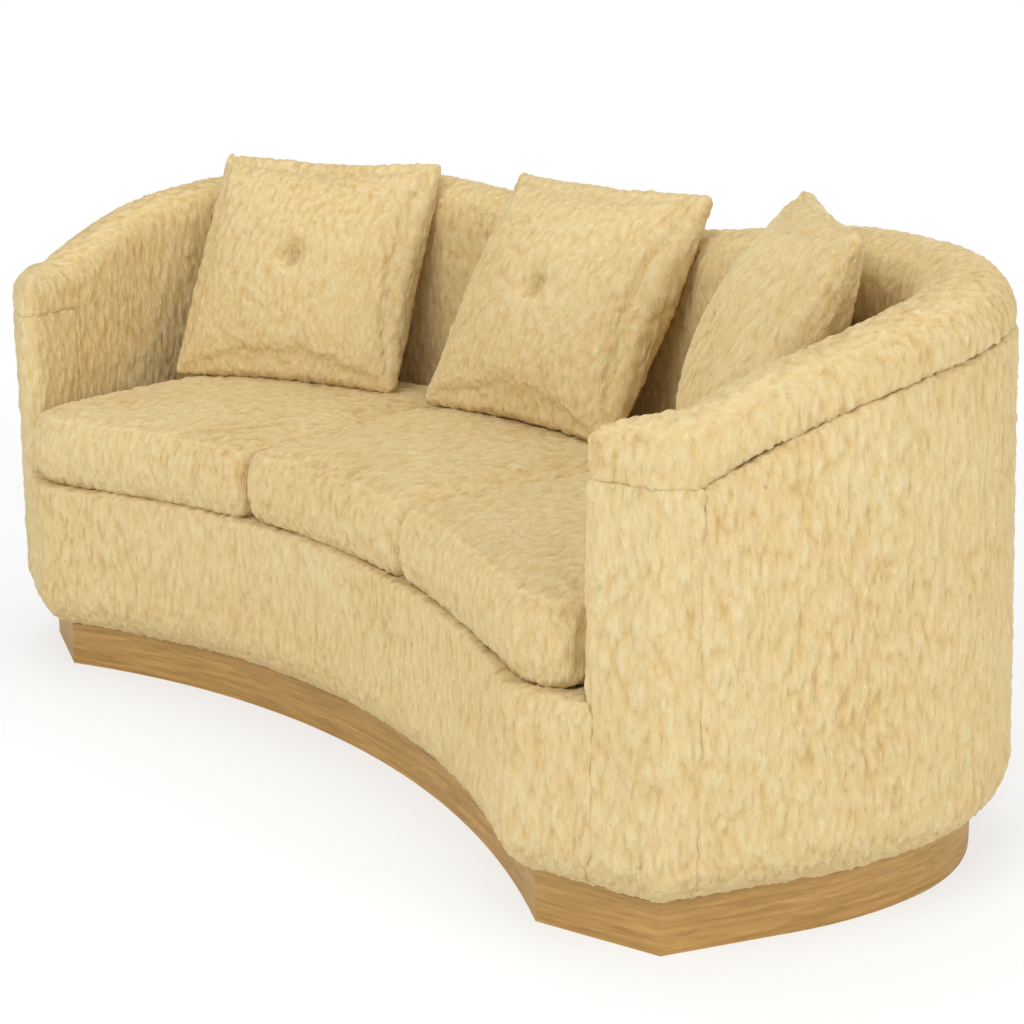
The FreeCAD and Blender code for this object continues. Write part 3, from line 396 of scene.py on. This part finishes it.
def wood_material(name, dark, light):
    n = Nodes(name)
    grain = n.add("TexNoise", Scale=1.0, Detail=6.0, Roughness=0.62, Distortion=0.6)
    n.link(n.scaled((9, 9, 150)), grain.inputs["Vector"])
    pores = n.add("TexNoise", Scale=1.0, Detail=2.0)
    n.link(n.scaled((60, 60, 900)), pores.inputs["Vector"])
    mix = n.add("Math", operation="MULTIPLY_ADD")
    mix.inputs[1].default_value = 0.3
    n.link(pores.outputs["Fac"], mix.inputs[0])
    n.link(grain.outputs["Fac"], mix.inputs[2])
    n.link(n.ramp(mix.outputs[0], (0.42, dark), (0.85, light)), n.shader.inputs["Base Color"])
    gloss = n.ramp(pores.outputs["Fac"], (0.3, (0.5,) * 3), (0.7, (0.38,) * 3))
    n.link(gloss, n.shader.inputs["Roughness"])
    bump = n.add("Bump", Strength=0.15, Distance=0.001)
    n.link(mix.outputs[0], bump.inputs["Height"])
    n.link(bump.outputs["Normal"], n.shader.inputs["Normal"])
    return n.material


def weave_material(name, dark, light, pitch):
    n = Nodes(name)
    warp = n.add("TexWave", Scale=1.0, Distortion=0.4, bands_direction="X")
    weft = n.add("TexWave", Scale=1.0, Distortion=0.4, bands_direction="Y")
    place = n.scaled((pitch, pitch, pitch))
    n.link(place, warp.inputs["Vector"])
    n.link(place, weft.inputs["Vector"])
    cross = n.add("Math", operation="MULTIPLY")
    n.link(warp.outputs["Fac"], cross.inputs[0])
    n.link(weft.outputs["Fac"], cross.inputs[1])
    n.link(n.ramp(cross.outputs[0], (0.1, dark), (0.8, light)), n.shader.inputs["Base Color"])
    n.shader.inputs["Roughness"].default_value = 0.9
    bump = n.add("Bump", Strength=0.3, Distance=0.0008)
    n.link(cross.outputs[0], bump.inputs["Height"])
    n.link(bump.outputs["Normal"], n.shader.inputs["Normal"])
    return n.material


def foam_material():
    n = Nodes("open_cell_foam")
    cells = n.add("TexVoronoi", Scale=1.0)
    n.link(n.scaled((380, 380, 380)), cells.inputs["Vector"])
    n.link(n.ramp(cells.outputs["Distance"], (0.1, (0.62, 0.55, 0.36)), (0.6, (0.82, 0.76, 0.56))),
           n.shader.inputs["Base Color"])
    n.shader.inputs["Roughness"].default_value = 0.95
    bump = n.add("Bump", Strength=0.4, Distance=0.001)
    n.link(cells.outputs["Distance"], bump.inputs["Height"])
    n.link(bump.outputs["Normal"], n.shader.inputs["Normal"])
    return n.material


def steel_material():
    n = Nodes("spring_steel")
    lines = n.add("TexNoise", Scale=1.0, Detail=2.0)
    n.link(n.scaled((60, 60, 900)), lines.inputs["Vector"])
    n.link(n.ramp(lines.outputs["Fac"], (0.3, (0.33, 0.34, 0.36)), (0.7, (0.55, 0.56, 0.58))),
           n.shader.inputs["Base Color"])
    n.shader.inputs["Metallic"].default_value = 1.0
    n.shader.inputs["Roughness"].default_value = 0.35
    return n.material


# Plush colours: the first is painted shade at the roots of the locks, the last a painted highlight on their
# tips, both mixed with the plush's own random tone.
plush = plush_material("straw_plush", (0.70, 0.46, 0.18), (0.86, 0.63, 0.295), (0.93, 0.76, 0.43))
plinth_wood = wood_material("plinth_wood", (0.30, 0.155, 0.035), (0.56, 0.33, 0.095))
frame_timber = wood_material("frame_timber", (0.36, 0.23, 0.11), (0.60, 0.44, 0.25))
foam = foam_material()
jute = weave_material("jute_webbing", (0.20, 0.13, 0.06), (0.46, 0.34, 0.18), 420)
burlap = weave_material("burlap", (0.22, 0.15, 0.07), (0.50, 0.39, 0.22), 300)
cloth = weave_material("plain_cloth", (0.42, 0.36, 0.26), (0.68, 0.61, 0.46), 700)
steel = steel_material()

BY_SLOT = {
    "plush": plush, "plinth_wood": plinth_wood, "timber": frame_timber, "foam": foam,
    "webbing": jute, "burlap": burlap, "cloth": cloth, "steel": steel,
}
slot_of = {part["node"]: part["material_slot"] for part in frame["record"]["subparts"]}
for node, obj in nodes.items():
    obj.data.materials.clear()
    obj.data.materials.append(BY_SLOT[slot_of[node]])


# Upholstery

def dressed(obj, body, replaced):
    obj.data.materials.clear()
    obj.data.materials.append(plush)
    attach(obj, body)
    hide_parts(*replaced)
    return obj


def fixed_cover(name, names, salt):
    obj = remeshed(copy_nodes(name, names), wall_voxel, 2)
    piled(obj, wall_lock_length, salt, cover_lift)
    return dressed(obj, "sofa", names)


for wall, salt in (("outside", 11), ("inside", 23)):
    panels = [wall + "_arm_cover_left", wall + "_back_cover", wall + "_arm_cover_right"]
    fixed_cover(wall + "_plush", panels, salt)
for side, salt in (("left", 37), ("right", 41)):
    fixed_cover("arm_front_plush_" + side, ["arm_front_cover_" + side], salt)
fixed_cover("front_rail_plush", ["front_border_cover"], 53)

for index, side in enumerate(SIDES):
    name = "seat_cushion_cover_" + side
    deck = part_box(name)[0].z
    cushion = remeshed(copy_nodes("seat_cushion_plush_" + side, [name], outer_shell), cushion_voxel, 6)
    inflated(cushion, cushion_pressure, cushion_travel, deck)
    subdivided(cushion)
    piled(cushion, loose_lock_length, 61 + index, cushion_lift, base=deck)
    dressed(cushion, "cushion_" + side, [name, "seat_cushion_core_" + side])


def pillow_turn(side):
    """Rotation from the room's axes to the pillow's own, read from the spread of its points."""
    co = points_of(nodes["pillow_cover_" + side].data)
    co = co - co.mean(0)
    depth = np.linalg.eigh(co.T @ co)[1][:, 0]
    if depth[1] > 0:
        depth = -depth
    up = np.array((0.0, 0.0, 1.0))
    tall = up - depth * (up @ depth)
    tall /= np.linalg.norm(tall)
    wide = np.cross(-depth, tall)
    return np.stack([wide, -depth, tall])


for index, side in enumerate(SIDES):
    name = "pillow_cover_" + side
    pillow = remeshed(copy_nodes("pillow_plush_" + side, [name], outer_shell), pillow_voxel, 3)
    inflated(pillow, pillow_pressure, pillow_travel)
    subdivided(pillow)
    piled(pillow, loose_lock_length, 81 + index, turn=pillow_turn(side))
    dressed(pillow, "pillow_" + side, [name, "pillow_insert_" + side])


# Room, light and camera

def backdrop():
    n = Nodes("floor_white")
    ray = n.add("LightPath")
    glow = n.add("Emission", Strength=1.0, Color=(1, 1, 1, 1))
    mix = n.add("MixShader")
    place = n.add("TexCoord")
    away = n.add("VectorMath", operation="LENGTH")
    n.link(place.outputs["Object"], away.inputs[0])
    fade = n.add("MapRange")
    for socket, value in (("From Min", 1.0), ("From Max", 3.0), ("To Min", 0.6), ("To Max", 1.0)):
        fade.inputs[socket].default_value = value
    n.link(away.outputs["Value"], fade.inputs["Value"])
    share = n.add("Math", operation="MULTIPLY")
    n.link(ray.outputs["Is Camera Ray"], share.inputs[0])
    n.link(fade.outputs[0], share.inputs[1])
    n.shader.inputs["Base Color"].default_value = (0.93, 0.95, 0.97, 1)
    n.shader.inputs["Roughness"].default_value = 0.9
    n.shader.inputs["Specular IOR Level"].default_value = 0.1
    n.link(share.outputs[0], mix.inputs["Fac"])
    n.link(n.shader.outputs[0], mix.inputs[1])
    n.link(glow.outputs[0], mix.inputs[2])
    n.link(mix.outputs[0], n.tree.nodes["Material Output"].inputs["Surface"])
    mesh = bpy.data.meshes.new("floor")
    corners = [(x * floor_half, y * floor_half, 0) for x, y in ((-1, -1), (1, -1), (1, 1), (-1, 1))]
    mesh.from_pydata(corners, [], [(0, 1, 2, 3)])
    floor = new_object("floor", mesh)
    mesh.materials.append(n.material)


def sky(strength):
    world = bpy.data.worlds.new("studio")
    bpy.context.scene.world = world
    world.use_nodes = True
    tree = world.node_tree
    light = tree.nodes["Background"]
    light.inputs["Color"].default_value = (0.96, 0.98, 1.0, 1)
    light.inputs["Strength"].default_value = strength
    white = tree.nodes.new("ShaderNodeBackground")
    white.inputs["Color"].default_value = (1, 1, 1, 1)
    path = tree.nodes.new("ShaderNodeLightPath")
    seen = tree.nodes.new("ShaderNodeMath")
    seen.operation = "MAXIMUM"
    tree.links.new(path.outputs["Is Camera Ray"], seen.inputs[0])
    tree.links.new(path.outputs["Is Glossy Ray"], seen.inputs[1])
    mix = tree.nodes.new("ShaderNodeMixShader")
    tree.links.new(seen.outputs[0], mix.inputs["Fac"])
    tree.links.new(light.outputs[0], mix.inputs[1])
    tree.links.new(white.outputs[0], mix.inputs[2])
    tree.links.new(mix.outputs[0], tree.nodes["World Output"].inputs["Surface"])


def lamp(name, place, target, size, power, colour):
    data = bpy.data.lights.new(name, "AREA")
    data.shape = "SQUARE"
    data.size = size
    data.energy = power
    data.color = colour
    obj = bpy.data.objects.new(name, data)
    bpy.context.scene.collection.objects.link(obj)
    obj.location = place
    obj.rotation_euler = (Vector(target) - Vector(place)).to_track_quat("-Z", "Y").to_euler()


backdrop()
sky(0.62)
lamp("key", (1.2, -3.2, 3.0), (0, 0, 0.4), 2.4, 72, (1.0, 0.985, 0.95))
lamp("side", (4.2, 0.6, 2.2), (0.3, 0, 0.4), 2.2, 52, (1.0, 0.98, 0.95))
lamp("top", (-0.6, 0.4, 3.6), (0, 0, 0.4), 3.0, 30, (1.0, 1.0, 1.0))

camera_data = bpy.data.cameras.new("camera")
camera_data.sensor_width = sensor_width
camera_data.lens = focal_pixels / image_size * sensor_width
camera_data.shift_x = -(centre_x - image_size / 2) / image_size
camera_data.shift_y = (centre_y - image_size / 2) / image_size
camera_data.clip_end = view_distance
camera = bpy.data.objects.new("camera", camera_data)
bpy.context.scene.collection.objects.link(camera)
level = math.cos(camera_pitch)
forward = Vector((-math.sin(camera_pan) * level, math.cos(camera_pan) * level, -math.sin(camera_pitch)))
camera.rotation_mode = "QUATERNION"
camera.rotation_quaternion = forward.to_track_quat("-Z", "Y")
camera.location = camera_place
bpy.context.scene.camera = camera
bpy.context.scene.view_settings.view_transform = "Standard"
